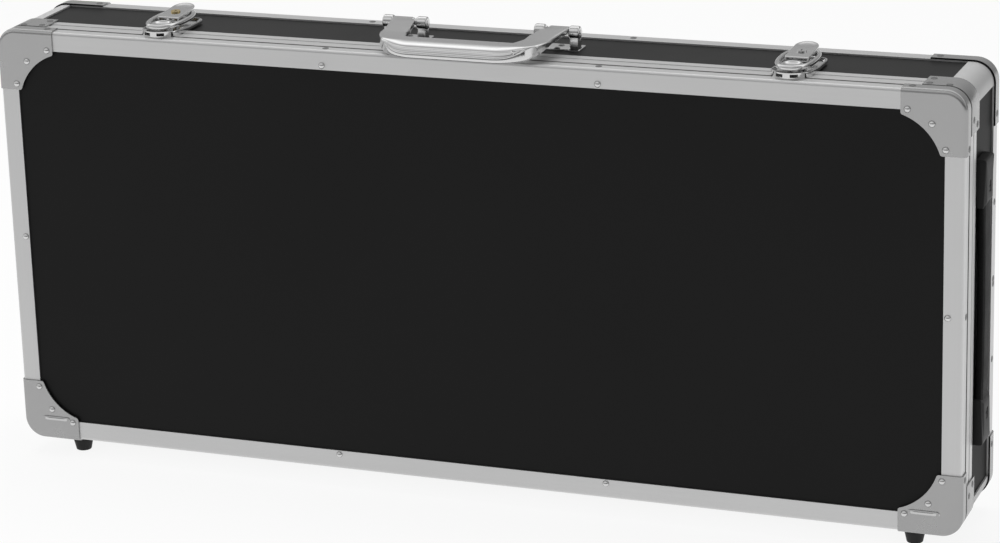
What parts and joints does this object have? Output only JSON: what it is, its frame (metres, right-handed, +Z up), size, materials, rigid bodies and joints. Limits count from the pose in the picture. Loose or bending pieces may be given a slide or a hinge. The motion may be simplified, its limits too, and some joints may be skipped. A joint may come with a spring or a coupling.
{
  "type": "guitar pedal case",
  "caption": "Flat upright flight case for guitar effect pedals, with an aluminium frame, a hinged lid, draw latches and a folding carrying handle",
  "frame": {"origin": "on the ground, under the middle of the whole case and its handle, as it stands on its feet with the lid in front", "axes": "X is the case width, to the right seen from the lid; Y runs from the lid to the back; Z is up"},
  "size_m": [0.7067, 0.1094, 0.3365],
  "materials": {
    "aluminium_rail": "fine brushed along the rail, satin",
    "pressed_aluminium": "satin pressed sheet",
    "black_laminate": "black textured laminate on thin board",
    "foam": "black foam",
    "chrome": "polished chrome plate",
    "brass": "polished brass",
    "bright_steel": "nickel plated",
    "black_rubber": "moulded, dull",
    "black_plastic": "moulded, fine texture",
    "black_strap": "soft vinyl"
  },
  "bodies": {
    "base": {"back_panel": "black_laminate", "wall_top": "black_laminate", "wall_bottom": "black_laminate", "wall_left": "black_laminate", "wall_right": "black_laminate", "front_rail_top": "aluminium_rail", "front_rail_bottom": "aluminium_rail", "front_rail_left": "aluminium_rail", "front_rail_right": "aluminium_rail", "rear_rail_top": "aluminium_rail", "rear_rail_bottom": "aluminium_rail", "rear_rail_left": "aluminium_rail", "rear_rail_right": "aluminium_rail", "corner_sheet_upper_left": "pressed_aluminium", "corner_sheet_upper_right": "pressed_aluminium", "corner_sheet_lower_left": "pressed_aluminium", "corner_sheet_lower_right": "pressed_aluminium", "front_corners": "pressed_aluminium", "rear_corners": "pressed_aluminium", "feet": "black_rubber", "foot_screws": "bright_steel", "floor_foam": "foam", "wall_foam": "foam", "base_hinge_leaves": "bright_steel", "hinge_pins": "bright_steel", "latch_plate_left": "chrome", "latch_plate_right": "chrome", "latch_rivets": "bright_steel", "lever_pins": "chrome", "handle_brackets": "chrome", "handle_pins": "chrome", "handle_bracket_screws": "bright_steel", "strap_end_caps": "black_plastic", "strap": "black_strap", "strap_screws": "bright_steel"},
    "lid": {"lid_panel": "black_laminate", "lid_rail_top": "aluminium_rail", "lid_rail_bottom": "aluminium_rail", "lid_rail_left": "aluminium_rail", "lid_rail_right": "aluminium_rail", "lid_corner_upper_left": "pressed_aluminium", "lid_corner_upper_right": "pressed_aluminium", "lid_corner_lower_left": "pressed_aluminium", "lid_corner_lower_right": "pressed_aluminium", "lid_rivets": "bright_steel", "lid_foam": "foam", "keeper_left": "chrome", "keeper_right": "chrome", "lid_hinge_leaves": "bright_steel"},
    "handle": {"handle_bail": "chrome"},
    "lever_left": {"lever_left": "chrome", "ring_pins_left": "chrome"},
    "lever_right": {"lever_right": "chrome", "ring_pins_right": "chrome"},
    "ring_left": {"draw_ring_left": "chrome"},
    "ring_right": {"draw_ring_right": "chrome"},
    "lock_left": {"lock_cylinder_left": "brass"},
    "lock_right": {"lock_cylinder_right": "chrome"}
  },
  "joints": [
    {"name": "lid_hinge", "type": "hinge", "parent": "base", "child": "lid", "pos_m": [0, -0.02925, 0.0124], "axis": [1, 0, 0], "range_deg": [0, 90]},
    {"name": "handle_swing", "type": "hinge", "parent": "base", "child": "handle", "pos_m": [0, 0.00775, 0.3325], "axis": [-1, 0, 0], "range_deg": [0, 90]},
    {"name": "lever_left_hinge", "type": "hinge", "parent": "base", "child": "lever_left", "pos_m": [-0.229, -0.00875, 0.3261], "axis": [1, 0, 0], "range_deg": [0, 110]},
    {"name": "ring_left_hinge", "type": "hinge", "parent": "lever_left", "child": "ring_left", "pos_m": [-0.229, -0.00025, 0.3271], "axis": [1, 0, 0], "range_deg": [-122, 0]},
    {"name": "lock_left_turn", "type": "hinge", "parent": "lever_left", "child": "lock_left", "pos_m": [-0.229, 0.00175, 0.33043], "axis": [0, -0.0734, 0.9973], "range_deg": [0, 90]},
    {"name": "lever_right_hinge", "type": "hinge", "parent": "base", "child": "lever_right", "pos_m": [0.229, -0.00875, 0.3261], "axis": [1, 0, 0], "range_deg": [0, 110]},
    {"name": "ring_right_hinge", "type": "hinge", "parent": "lever_right", "child": "ring_right", "pos_m": [0.229, -0.00025, 0.3271], "axis": [1, 0, 0], "range_deg": [-122, 0]},
    {"name": "lock_right_turn", "type": "hinge", "parent": "lever_right", "child": "lock_right", "pos_m": [0.229, 0.00175, 0.33043], "axis": [0, -0.0734, 0.9973], "range_deg": [0, 90]}
  ],
  "couplings": [
    {"joint": "ring_left_hinge", "follows": "lever_left_hinge", "ratio": -1.1},
    {"joint": "ring_right_hinge", "follows": "lever_right_hinge", "ratio": -1.1}
  ]
}
